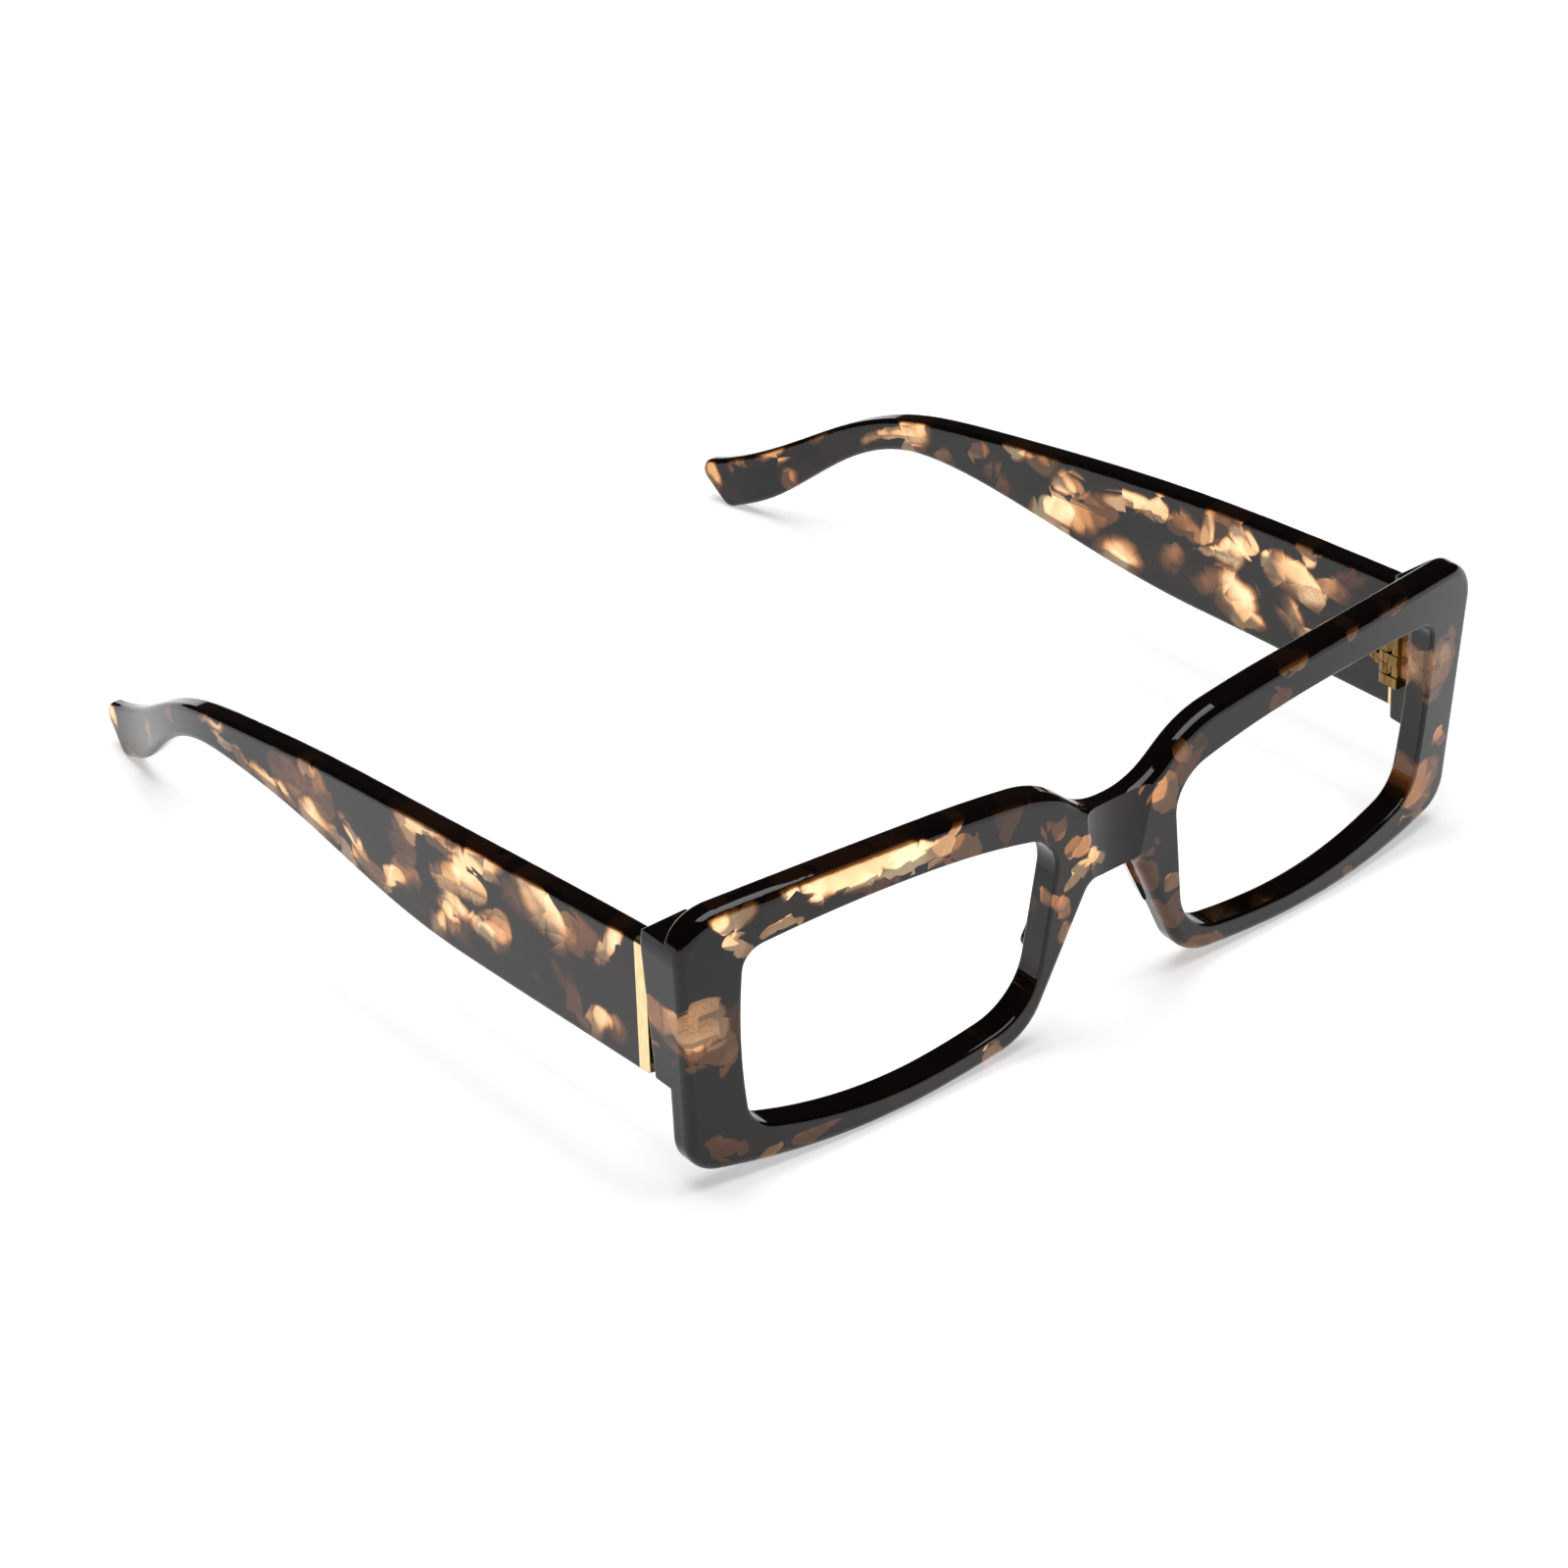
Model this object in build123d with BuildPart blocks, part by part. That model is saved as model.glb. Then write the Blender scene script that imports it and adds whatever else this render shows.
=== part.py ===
"""Eyeglasses frame in tortoise acetate, with two folding temples.

Millimetres, +Z up, +X to the right as seen from the front, +Y from the front towards the tips. The frame stands on its lower rims and its temple tips.
Everything is drawn about the mid-plane X = 0, and the left and right pieces are mirror twins.
"""
import os
from math import atan, atan2, cos, radians, sin

from build123d import *

# ---------------------------------------------------------------- overall sizes
front_half_width = 71.0     # mid-plane to the outer top corner of the front
front_height = 42.9         # lowest to highest point of the front, along its own face
temple_reach = 151.4        # front face at the floor to the end of the temple tip
pantoscopic_tilt = 3.9      # degrees that the top of the front leans forward

# ---------------------------------------------------------------- front: face curve and thickness
rim_thickness = 4.2         # acetate sheet thickness
face_flat_half = 30.0       # the middle of the face is flat out to here
face_radius = 185.0         # then each side wraps back on this radius
face_wrap = 18.0            # degrees of that arc, enough to pass the outer edge
rim_front_round = 1.5       # round along the outer front edge
rim_back_round = 1.1        # round along the outer back edge
opening_round = 0.5         # softened edge of the lens openings

# ---------------------------------------------------------------- front: outer outline
top_corner_drop = 1.5       # outer top corner below the crown of the top edge
top_corner_radius = 6.5
foot_inset = 2.6            # outer bottom corner inwards of the top one
foot_corner_rise = 2.9
foot_corner_radius = 5.2
foot_crown_inset = 29.5     # where the lower edge of a rim touches the floor, from the top corner
nasal_foot_half = 14.0      # inner bottom corner of a rim
nasal_foot_rise = 1.8
nasal_foot_radius = 9.0
bridge_drop = 10.0          # dip between the rims, below the highest point
bridge_height = 11.0        # dip to the top of the nose arch
bridge_dip_half = 4.4       # where the dip starts to climb to the rim
bridge_dip_radius = 11.0
shoulder_half = 12.6        # where the climb meets the top edge of a rim
shoulder_drop = 3.1
shoulder_radius = 16.0
nose_arch_half = 4.2
nose_arch_radius = 1.9
crown_inset = 28.0          # highest point of each top edge, from the outer corner

# ---------------------------------------------------------------- lens openings
lens_inner = 10.2           # nasal top corner, from the mid-plane
lens_inner_drop = 11.3      # below the highest point of the front
lens_inner_radius = 6.3
lens_outer_inset = 9.7      # temporal top corner, inwards of the front's own corner
lens_outer_drop = 7.8
lens_outer_radius = 3.4
lens_foot_inset = 1.5       # temporal bottom corner, inwards of the top one
lens_foot_outer_rise = 7.7
lens_foot_outer_radius = 5.5
lens_foot_inner = 13.6      # nasal bottom corner
lens_foot_inner_rise = 6.2
lens_foot_inner_radius = 9.0
lens_top_bow = 3.1          # how far the long edges bow out of the straight line
lens_foot_bow = 3.1
lens_outer_bow = 0.9

# ---------------------------------------------------------------- bridge saddle and nose pads
saddle_radius = 14.0        # upright hollow milled into the front of the bridge
saddle_set_back = 0.9       # its deepest line, in front of the tilt axis
pad_length = 10.5
pad_width = 3.4
pad_depth = 1.6
pad_centre_half = 8.3
pad_centre_rise = 16.5
pad_lean = 27.0             # degrees from upright
pad_splay = 0.4             # outward shift of the pad's crest
pad_round = 0.5

# ---------------------------------------------------------------- endpieces and temples
endpiece_step = 0.9         # inner side of the thick endpiece, inwards of the pin
endpiece_low = 15.2
endpiece_drop = 5.3
endpiece_back = 10.0        # back face of the endpieces behind the tilt axis
endpiece_round = 0.9
endpiece_flank = 0.8        # slope of its inner side
plate_gap = 0.6             # endpiece to end plate with the temple open
plate_thickness = 1.7       # metal end plate on the front of a temple
plate_bevel = 0.3
temple_step = 1.6           # outer face of a temple, inwards of the front's corner
temple_thickness = 3.6
temple_low = 15.4           # lower edge at the hinge
temple_drop = 7.7           # upper edge at the hinge, below the front's highest point
temple_round = 0.8
tip_inset = 12.2            # inward shift of the outer face just past the tip
tip_sweep = -0.2            # inward slope there
tip_round = 2.0
tip_trim = 1.7              # what that round takes off the end

# ---------------------------------------------------------------- hinge
hinge_rise = 0.3            # middle of the barrels above the middle of the temple's end
hinge_inset = 2.1           # pin axis inwards of the temple's inner face
knuckle_count = 5
knuckle_pitch = 1.75
knuckle_gap = 0.15
knuckle_radius = 1.5
pin_radius = 0.60
pin_clearance = 0.04        # running clearance of the screw in every barrel
head_radius = 1.05
head_height = 0.55
head_clearance = 0.05
slot_width = 0.28
slot_turn = 35.0            # degrees
leaf_thickness = 1.1
leaf_half_height = 3.4
leaf_length = 3.8
leaf_corner = 1.0           # radius of a leaf's corners
leaf_rivet_place = 2.2      # the temple leaf's rivets behind its front end
arm_overlap = 1.0           # how far a barrel's arm runs along its leaf
leaf_sink = 0.6             # how far a temple leaf is let into the temple
front_leaf_width = 5.2
front_leaf_depth = 2.4      # back of the endpiece to the floor of its pocket
pocket_clearance = 0.25
rivet_radius = 0.6
rivet_head_radius = 0.95
rivet_head_height = 0.3
rivet_head_round = 0.24
rivet_spacing = 4.2
rivet_bite = 0.5            # rivet length past the leaf
front_rivet_spacing = 4.0
anchor_width = 4.6
anchor_height = 5.4
anchor_depth = 2.6
anchor_slot = 1.8
anchor_wall = 1.5           # closed outer end of the anchor's slot
anchor_margin = 1.6         # acetate outside the anchor

# ---------------------------------------------------------------- core wire
wire_radius = 0.6
heel_start = 1.6            # behind the end plate
heel_length = 21.5
heel_half_height = 2.0
heel_thickness = 1.1
heel_point = 6.5
ridge_count = 12
ridge_radius = 0.95
ridge_pitch = 1.0
ridge_start = 9.0           # along the wire from its heel
wire_route = (0.396, 0.687, 0.773, 0.898)   # where the wire turns, as shares of the temple's reach
wire_bends = (90, 45, 26)           # radius of each turn

# ---------------------------------------------------------------- drawing aids
margin = 1.0                # cutting shapes run past the piece by this
same_way = 0.8              # cosine within which a face looks along a direction
hair = 0.01

# ---------------------------------------------------------------- places that follow from the sizes
tilt = radians(pantoscopic_tilt)
lean = front_height * sin(tilt)
face_y = -(temple_reach - lean) / 2
butt_y = face_y + endpiece_back
plate_y = butt_y + plate_gap
temple_y = plate_y + plate_thickness
foot_half_width = front_half_width - foot_inset
foot_crown = front_half_width - foot_crown_inset
crown_half = front_half_width - crown_inset
bridge_top = front_height - bridge_drop
bridge_bottom = bridge_top - bridge_height
lens_outer = front_half_width - lens_outer_inset
lens_foot_outer = lens_outer - lens_foot_inset
lens_outer_top = front_height - lens_outer_drop
lens_inner_top = front_height - lens_inner_drop
endpiece_high = front_height - endpiece_drop
temple_high = front_height - temple_drop
hinge_height = (temple_low + temple_high) / 2 + hinge_rise
temple_outer = front_half_width - temple_step
temple_inner = temple_outer - temple_thickness
temple_middle = temple_outer - temple_thickness / 2
pin_x = temple_inner - hinge_inset
endpiece_inner = pin_x - endpiece_step
pin_y = (butt_y + plate_y) / 2
stack_height = knuckle_count * knuckle_pitch - knuckle_gap
stack_low = hinge_height - stack_height / 2
stack_high = stack_low + stack_height
barrel_bore = pin_radius + pin_clearance
pocket_y = butt_y - front_leaf_depth

# Planes of the tilted front: its face (normal forwards) and its plan (normal up along the face).
# The front sinks by what the round along its lower edge takes off, so that the round meets the floor.
face_origin = (0, face_y, -rim_front_round * sin(tilt))
face_plane = Plane(face_origin, x_dir=(1, 0, 0), z_dir=(0, -cos(tilt), -sin(tilt)))
plan_plane = Plane(face_origin, x_dir=(1, 0, 0), z_dir=(0, -sin(tilt), cos(tilt)))


def bend(depth, side):
    """Arc of the wrapped sheet at one depth behind the face, on one side."""
    return JernArc((side * face_flat_half, depth), (side, 0), face_radius - depth, side * face_wrap)


def draw_strip(near, far):
    """Plan of the bent sheet between two depths behind the face."""
    with BuildLine() as plan:
        Line((-face_flat_half, near), (face_flat_half, near))
        Line((-face_flat_half, far), (face_flat_half, far))
        for side in (-1, 1):
            Line(bend(near, side) @ 1, bend(far, side) @ 1)
    make_face(plan.edges())


def round_corners(sketch, rounds):
    """Rounds the named corners of a sketch, on both sides of the mid-plane."""
    for point, radius in rounds:
        for side in (-1, 1):
            target = Vector(side * point[0], point[1])
            corner = sketch.vertices().sort_by_distance(target)[0]
            fillet(corner, radius)


def bowed(start, end, bow):
    """Arc from start to end that bows out to the right of the way from start to end."""
    run = Vector(*end) - Vector(*start)
    middle = (Vector(*start) + Vector(*end)) * 0.5
    out = Vector(run.Y, -run.X).normalized()
    ThreePointArc(start, middle + out * bow, end)


# ---------------------------------------------------------------- outlines on the face of the front
top_left = (shoulder_half, front_height - shoulder_drop)
top_right = (front_half_width, front_height - top_corner_drop)
foot_right = (foot_half_width, foot_corner_rise)
foot_left = (nasal_foot_half, nasal_foot_rise)
dip = (bridge_dip_half, bridge_top)
arch = (nose_arch_half, bridge_bottom)

with BuildSketch(Plane.XY) as outline:
    with BuildLine():
        Line((0, bridge_top), dip)
        Line(dip, top_left)
        ThreePointArc(top_left, (crown_half, front_height), top_right)
        Line(top_right, foot_right)
        ThreePointArc(foot_right, (foot_crown, 0), foot_left)
        Line(foot_left, arch)
        Line(arch, (0, bridge_bottom))
        Line((0, bridge_bottom), (0, bridge_top))
    make_face()
    mirror(about=Plane.YZ)
    outline_rounds = (
        (dip, bridge_dip_radius),
        (top_left, shoulder_radius),
        (top_right, top_corner_radius),
        (foot_right, foot_corner_radius),
        (foot_left, nasal_foot_radius),
        (arch, nose_arch_radius),
    )
    round_corners(outline, outline_rounds)

lens_a = (lens_inner, lens_inner_top)
lens_b = (lens_outer, lens_outer_top)
lens_c = (lens_foot_outer, lens_foot_outer_rise)
lens_d = (lens_foot_inner, lens_foot_inner_rise)

with BuildSketch(Plane.XY) as lens_shape:
    with BuildLine():
        bowed(lens_b, lens_a, lens_top_bow)
        bowed(lens_d, lens_c, lens_foot_bow)
        bowed(lens_c, lens_b, lens_outer_bow)
        Line(lens_a, lens_d)
    make_face()
    lens_rounds = (
        (lens_a, lens_inner_radius),
        (lens_b, lens_outer_radius),
        (lens_c, lens_foot_outer_radius),
        (lens_d, lens_foot_inner_radius),
    )
    for point, radius in lens_rounds:
        fillet(lens_shape.vertices().sort_by_distance(Vector(*point))[0], radius)


def border(part, facing):
    """Edges round all the faces of a part that look along a direction, without the seams in between."""
    edges = ShapeList()
    for face in part.faces():
        if face.normal_at(face.center()).dot(facing) > same_way:
            edges += face.edges()
    return edges.filter_by(lambda edge: sum(1 for other in edges if other.is_same(edge)) == 1)


# ---------------------------------------------------------------- front
# Thick endpieces behind the outer ends of the sheet, as tall as the temples' end plates.
with BuildPart() as endpieces:
    with BuildSketch(plan_plane.offset(endpiece_low)):
        draw_strip(rim_thickness / 2, 2 * endpiece_back)
        with BuildLine():
            Polyline(
                (-endpiece_inner, 0),
                (endpiece_inner, 0),
                (endpiece_inner + endpiece_flank, 2 * endpiece_back),
                (-endpiece_inner - endpiece_flank, 2 * endpiece_back),
                close=True,
            )
        make_face(mode=Mode.SUBTRACT)
    extrude(amount=endpiece_high - endpiece_low)
    with BuildSketch(face_plane):
        add(outline.sketch)
    extrude(amount=-3 * endpiece_back, mode=Mode.INTERSECT)
    # The back of both endpieces is one upright plane.
    with BuildSketch(Plane.XY.offset(-margin)):
        with Locations((0, butt_y + endpiece_back)):
            Rectangle(2 * (front_half_width + margin), 2 * endpiece_back)
    extrude(amount=front_height + 2 * margin, mode=Mode.SUBTRACT)
    fillet(border(endpieces, Vector(0, 1, 0)), endpiece_round)

pocket_half_height = stack_height / 2 + pocket_clearance
front_leaf_inner = pin_x - knuckle_radius
front_leaf_outer = front_leaf_inner + front_leaf_width + knuckle_radius

with BuildPart() as front_frame:
    with BuildSketch(plan_plane):
        draw_strip(0, rim_thickness)
    extrude(amount=front_height + margin)
    with BuildSketch(face_plane):
        add(outline.sketch)
    extrude(amount=-3 * endpiece_back, mode=Mode.INTERSECT)
    fillet(border(front_frame, -face_plane.z_dir), rim_back_round)
    fillet(border(front_frame, face_plane.z_dir), rim_front_round)
    # Lens openings with softened edges.
    with BuildSketch(face_plane):
        add(lens_shape.sketch)
        mirror(lens_shape.sketch, about=Plane.YZ)
    extrude(amount=-3 * endpiece_back, mode=Mode.SUBTRACT)
    opening_edges = front_frame.edges(Select.LAST)
    fillet(opening_edges.filter_by(Axis((0, 0, 0), face_plane.z_dir), reverse=True), opening_round)
    add(endpieces.part)
    # Upright hollow in the front of the bridge.
    with BuildSketch(Plane.XY.offset(-margin)):
        with Locations((0, face_y - saddle_set_back - saddle_radius)):
            Circle(saddle_radius)
    extrude(amount=front_height + 2 * margin, mode=Mode.SUBTRACT)
    # Pockets for the front hinge leaves, open at the back and towards the lens.
    with BuildSketch(Plane.XY.offset(hinge_height - pocket_half_height)):
        for side in (-1, 1):
            low_x = front_leaf_inner - knuckle_radius
            with Locations((side * (low_x + front_leaf_outer) / 2, pocket_y + front_leaf_depth)):
                Rectangle(front_leaf_outer - low_x, 2 * front_leaf_depth)
    extrude(amount=2 * pocket_half_height, mode=Mode.SUBTRACT)

# ---------------------------------------------------------------- nose pads
def draw_pad(shrink, shift):
    """Outline of a pad at one depth: a slot that leans with the side of the nose."""
    with Locations((pad_centre_half + shift, pad_centre_rise)):
        SlotOverall(pad_length - shrink, pad_width - shrink, rotation=90 + pad_lean)


with BuildPart() as nose_pad:
    with BuildSketch(face_plane.offset(-(rim_thickness - rim_back_round))):
        draw_pad(0, 0)
    with BuildSketch(face_plane.offset(-(rim_thickness + pad_depth))):
        draw_pad(2 * pad_round, pad_splay)
    loft()
    fillet(border(nose_pad, -face_plane.z_dir), pad_round)
    add(front_frame.part, mode=Mode.SUBTRACT)

# ---------------------------------------------------------------- temples
# Edges of a temple past the straight part at its hinge: distance behind the face as a share of the
# temple's reach, and height as a share of its height at the hinge.
upper_profile = (
    (0.297, 0.949),
    (0.495, 0.872),
    (0.661, 0.778),
    (0.753, 0.696),
    (0.819, 0.577),
    (0.879, 0.426),
    (0.938, 0.287),
)
lower_profile = (
    (0.436, 0.463),
    (0.561, 0.537),
    (0.680, 0.580),
    (0.746, 0.554),
    (0.806, 0.443),
    (0.865, 0.253),
    (0.912, 0.102),
)
lower_straight = 0.33       # the lower edge is level out to this share of the reach
tip_heel = 6.8              # lowest point of the tip in front of its end
tip_rise = 6.2              # height of the tip's end above the floor
belly_slope = 0.45          # fall of the lower edge where it meets the tip's lowest point
# Share of the reach, and inward shift of a temple's outer face there.
plan_profile = ((0.396, 0.2), (0.594, 1.5), (0.760, 3.1), (0.859, 6.5), (0.958, 10.6))
# How much thinner a temple is there, taken off its inner face.
thinning = (0, 0, 0.1, 0.6, 1.1)


def behind(distance):
    """Row position of a point a distance behind the front's face."""
    return face_y + distance


# The tip's lowest corner is drawn below the floor by what its round takes off.
belly_angle = atan(belly_slope)
end_angle = atan2(tip_rise, tip_heel)
tip_sink = tip_round * (cos((end_angle - belly_angle) / 2) / cos((end_angle + belly_angle) / 2) - 1)

hinge_distance = temple_y - face_y
end_distance = temple_reach + tip_trim
upper_edge = [(share * temple_reach, part * temple_high) for share, part in upper_profile]
lower_edge = [(share * temple_reach, part * temple_high) for share, part in lower_profile]
plan_shift = [(share * temple_reach, shift) for share, shift in plan_profile]
upper_stations = [(hinge_distance, temple_high), *upper_edge, (end_distance, tip_rise)]
lower_start = (lower_straight * temple_reach, temple_low)
lower_stations = [lower_start, *lower_edge, (end_distance - tip_heel, -tip_sink)]

with BuildPart() as temple:
    with BuildSketch(Plane.YZ):
        with BuildLine():
            crown = [(behind(distance), height) for distance, height in upper_stations]
            belly = [(behind(distance), height) for distance, height in lower_stations]
            Spline(*crown)
            Line(crown[-1], belly[-1])
            Spline(*belly, tangents=((1, 0), (1, -belly_slope)))
            Line(belly[0], (temple_y, temple_low))
            Line((temple_y, temple_low), (temple_y, temple_high))
        make_face()
        for corner in (crown[-1], belly[-1]):
            fillet(vertices().sort_by_distance(Vector(*corner))[0], tip_round)
    extrude(amount=front_half_width + margin)
    with BuildSketch(Plane.XY):
        with BuildLine():
            outer = [(temple_outer, temple_y)]
            outer += [(temple_outer - shift, behind(distance)) for distance, shift in plan_shift]
            outer += [(temple_outer - tip_inset, behind(end_distance) + margin)]
            shims = (0, *thinning, thinning[-1])
            inner = [(x - temple_thickness + shim, y) for (x, y), shim in zip(outer, shims)]
            Spline(*outer, tangents=((0, 1), (tip_sweep, 1)))
            Spline(*inner, tangents=((0, 1), (tip_sweep, 1)))
            Line(outer[0], inner[0])
            Line(outer[-1], inner[-1])
        make_face()
    extrude(amount=front_height, mode=Mode.INTERSECT)
    long_edges = temple.edges().filter_by(lambda edge: edge.center().Y > temple_y + hair)
    long_edges = long_edges.filter_by(Axis.X, reverse=True)
    fillet(long_edges, temple_round)
    # Seat of the hinge leaf in the inner face.
    with BuildSketch(Plane.YZ.offset(temple_inner - leaf_thickness)):
        with Locations((temple_y + leaf_length / 2, hinge_height)):
            Rectangle(leaf_length, 2 * leaf_half_height)
    extrude(amount=leaf_thickness + leaf_sink, mode=Mode.SUBTRACT)

with BuildPart() as end_plate:
    with BuildSketch(Plane.XZ.offset(-plate_y)):
        with Locations((temple_middle, (temple_low + temple_high) / 2)):
            RectangleRounded(temple_thickness, temple_high - temple_low, temple_round)
    extrude(amount=-plate_thickness)
    chamfer(end_plate.faces().sort_by(Axis.Y)[0].edges(), plate_bevel)
    # Notch that lets the arms of the hinge leaf past.
    with BuildSketch(Plane.XY.offset(hinge_height - leaf_half_height)):
        with Locations((temple_inner, temple_y)):
            Rectangle(2 * leaf_sink, 2 * plate_thickness)
    extrude(amount=2 * leaf_half_height, mode=Mode.SUBTRACT)


# ---------------------------------------------------------------- rivets of the hinge leaves
def draw_rivets(radius, middle, spacing):
    """Two circles one above the other or one behind the other, a spacing apart."""
    with Locations((middle[0] - spacing[0] / 2, middle[1] - spacing[1] / 2)):
        Circle(radius)
    with Locations((middle[0] + spacing[0] / 2, middle[1] + spacing[1] / 2)):
        Circle(radius)


leaf_inner_x = temple_inner + leaf_sink - leaf_thickness
leaf_middle = (temple_y + leaf_rivet_place, hinge_height)

with BuildPart() as leaf_rivets:
    with BuildSketch(Plane.YZ.offset(leaf_inner_x)):
        draw_rivets(rivet_radius, leaf_middle, (0, rivet_spacing))
    extrude(amount=leaf_thickness + rivet_bite)
    with BuildSketch(Plane.YZ.offset(leaf_inner_x)):
        draw_rivets(rivet_head_radius, leaf_middle, (0, rivet_spacing))
    extrude(amount=-rivet_head_height)
    heads = leaf_rivets.faces().filter_by(Axis.X).group_by(Axis.X)[0]
    fillet(heads.edges(), rivet_head_round)

anchor_outer = temple_outer - anchor_margin
anchor_middle = anchor_outer - anchor_width / 2
leaf_back_y = pocket_y + leaf_thickness

with BuildPart() as front_rivets:
    with BuildSketch(Plane.XZ.offset(-leaf_back_y)):
        draw_rivets(rivet_radius, (anchor_middle, hinge_height), (0, front_rivet_spacing))
    extrude(amount=leaf_thickness + rivet_bite)
    with BuildSketch(Plane.XZ.offset(-leaf_back_y)):
        draw_rivets(rivet_head_radius, (anchor_middle, hinge_height), (0, front_rivet_spacing))
    extrude(amount=-rivet_head_height)
    heads = front_rivets.faces().filter_by(Axis.Y).group_by(Axis.Y)[-1]
    fillet(heads.edges(), rivet_head_round)


# ---------------------------------------------------------------- hinge
def barrel_level(index):
    """Height of the underside of a barrel, counted from the bottom of the stack."""
    return stack_low + index * knuckle_pitch


def draw_barrel(near_x, reach_y):
    """Plan of a barrel with an arm from beside the pin to its leaf."""
    far_x = pin_x + knuckle_radius
    with Locations((pin_x, pin_y)):
        Circle(knuckle_radius)
    with Locations(((near_x + far_x) / 2, (pin_y + reach_y) / 2)):
        Rectangle(far_x - near_x, abs(reach_y - pin_y))
    with Locations((pin_x, pin_y)):
        Circle(barrel_bore, mode=Mode.SUBTRACT)


barrel_height = knuckle_pitch - knuckle_gap

with BuildPart() as hinge_front:
    with BuildSketch(Plane.XZ.offset(-pocket_y)):
        with Locations(((front_leaf_inner + front_leaf_outer) / 2, hinge_height)):
            Rectangle(front_leaf_outer - front_leaf_inner - pocket_clearance, 2 * leaf_half_height)
    extrude(amount=-leaf_thickness)
    fillet(hinge_front.edges().filter_by(Axis.Y), leaf_corner)
    for index in range(0, knuckle_count, 2):
        with BuildSketch(Plane.XY.offset(barrel_level(index))):
            draw_barrel(pin_x - knuckle_radius, pocket_y)
        extrude(amount=barrel_height)
    add(front_rivets.part, mode=Mode.SUBTRACT)
    # Seat of the screw's head in the top barrel.
    with BuildSketch(Plane.XY.offset(stack_high)):
        with Locations((pin_x, pin_y)):
            Circle(head_radius + head_clearance)
    extrude(amount=-head_height, mode=Mode.SUBTRACT)

with BuildPart() as hinge_temple:
    with BuildSketch(Plane.YZ.offset(temple_inner - leaf_thickness + leaf_sink)):
        with Locations((temple_y + leaf_length / 2, hinge_height)):
            Rectangle(leaf_length, 2 * leaf_half_height)
    extrude(amount=leaf_thickness)
    far_corners = hinge_temple.edges().filter_by(Axis.X).group_by(Axis.Y)[-1]
    fillet(far_corners, leaf_corner)
    for index in range(1, knuckle_count, 2):
        with BuildSketch(Plane.XY.offset(barrel_level(index))):
            draw_barrel(pin_x, temple_y + arm_overlap)
            # Foot that joins the arm to the leaf.
            with Locations(((pin_x + temple_inner) / 2, temple_y + arm_overlap / 2)):
                Rectangle(temple_inner - pin_x, arm_overlap)
        extrude(amount=barrel_height)
    add(leaf_rivets.part, mode=Mode.SUBTRACT)

with BuildPart() as hinge_screw:
    with BuildSketch(Plane.XY.offset(stack_low)):
        with Locations((pin_x, pin_y)):
            Circle(pin_radius)
    extrude(amount=stack_height)
    with BuildSketch(Plane.XY.offset(stack_high - head_height)):
        with Locations((pin_x, pin_y)):
            Circle(head_radius)
    extrude(amount=head_height)
    with BuildSketch(Plane.XY.offset(stack_high)):
        with Locations((pin_x, pin_y)):
            Rectangle(3 * head_radius, slot_width, rotation=slot_turn)
    extrude(amount=-head_height / 2, mode=Mode.SUBTRACT)


# Hook-shaped block sunk in the endpiece, open towards the lens.
with BuildPart() as hinge_anchor:
    with BuildSketch(Plane.XZ.offset(-pocket_y)):
        with Locations((anchor_middle, hinge_height)):
            Rectangle(anchor_width, anchor_height)
        with Locations((anchor_middle - anchor_wall, hinge_height)):
            Rectangle(anchor_width, anchor_slot, mode=Mode.SUBTRACT)
    extrude(amount=anchor_depth)
    fillet(hinge_anchor.edges().filter_by(Axis.Y).group_by(Axis.X)[-1], anchor_wall / 2)

# ---------------------------------------------------------------- core wire
def along(stations, distance):
    """Value at a distance, straight between the stations around it."""
    for (near, first), (far, last) in zip(stations, stations[1:]):
        if near <= distance <= far:
            return first + (last - first) * (distance - near) / (far - near)


shift_stations = ((hinge_distance, 0), *plan_shift)
heel_end = hinge_distance + heel_start + heel_length


def wire_point(distance):
    """Point in the middle of a temple at a distance behind the face."""
    height = (along(upper_stations, distance) + along(lower_stations, distance)) / 2
    return (temple_middle - along(shift_stations, distance), behind(distance), height)


wire_start = (temple_middle, behind(heel_end - heel_point / 4), hinge_height)
wire_points = [wire_start] + [wire_point(share * temple_reach) for share in wire_route]

with BuildPart() as core_wire:
    with BuildLine() as route:
        FilletPolyline(*wire_points, radius=wire_bends)
    wire = route.line
    with BuildSketch(Plane(wire @ 0, z_dir=wire % 0)):
        Circle(wire_radius)
    sweep()
    # Ridges that stop the wire from creeping in the acetate.
    run = (Vector(*wire_points[1]) - Vector(*wire_points[0])).normalized()
    for index in range(ridge_count):
        place = Vector(*wire_start) + run * (ridge_start + index * ridge_pitch)
        with BuildSketch(Plane(place, z_dir=run)):
            Circle(ridge_radius)
        extrude(amount=ridge_pitch / 2)
    # Flat pointed heel beside the hinge.
    with BuildSketch(Plane.YZ.offset(temple_middle - heel_thickness / 2)):
        with BuildLine():
            heel_y = temple_y + heel_start
            Polyline(
                (heel_y, hinge_height - heel_half_height),
                (heel_y + heel_length - heel_point, hinge_height - heel_half_height),
                (heel_y + heel_length, hinge_height),
                (heel_y + heel_length - heel_point, hinge_height + heel_half_height),
                (heel_y, hinge_height + heel_half_height),
                close=True,
            )
        make_face()
    extrude(amount=heel_thickness)


# ---------------------------------------------------------------- output
def write(piece, node):
    """Labels a finished piece and writes it as one STEP file."""
    piece.part.label = node
    export_step(piece.part, f"parts/{node}.step")


def write_pair(piece, node):
    """Writes a right-hand piece and its mirror twin on the left."""
    write(piece, f"{node}_right")
    with BuildPart() as twin:
        mirror(piece.part, about=Plane.YZ)
    write(twin, f"{node}_left")


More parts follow.
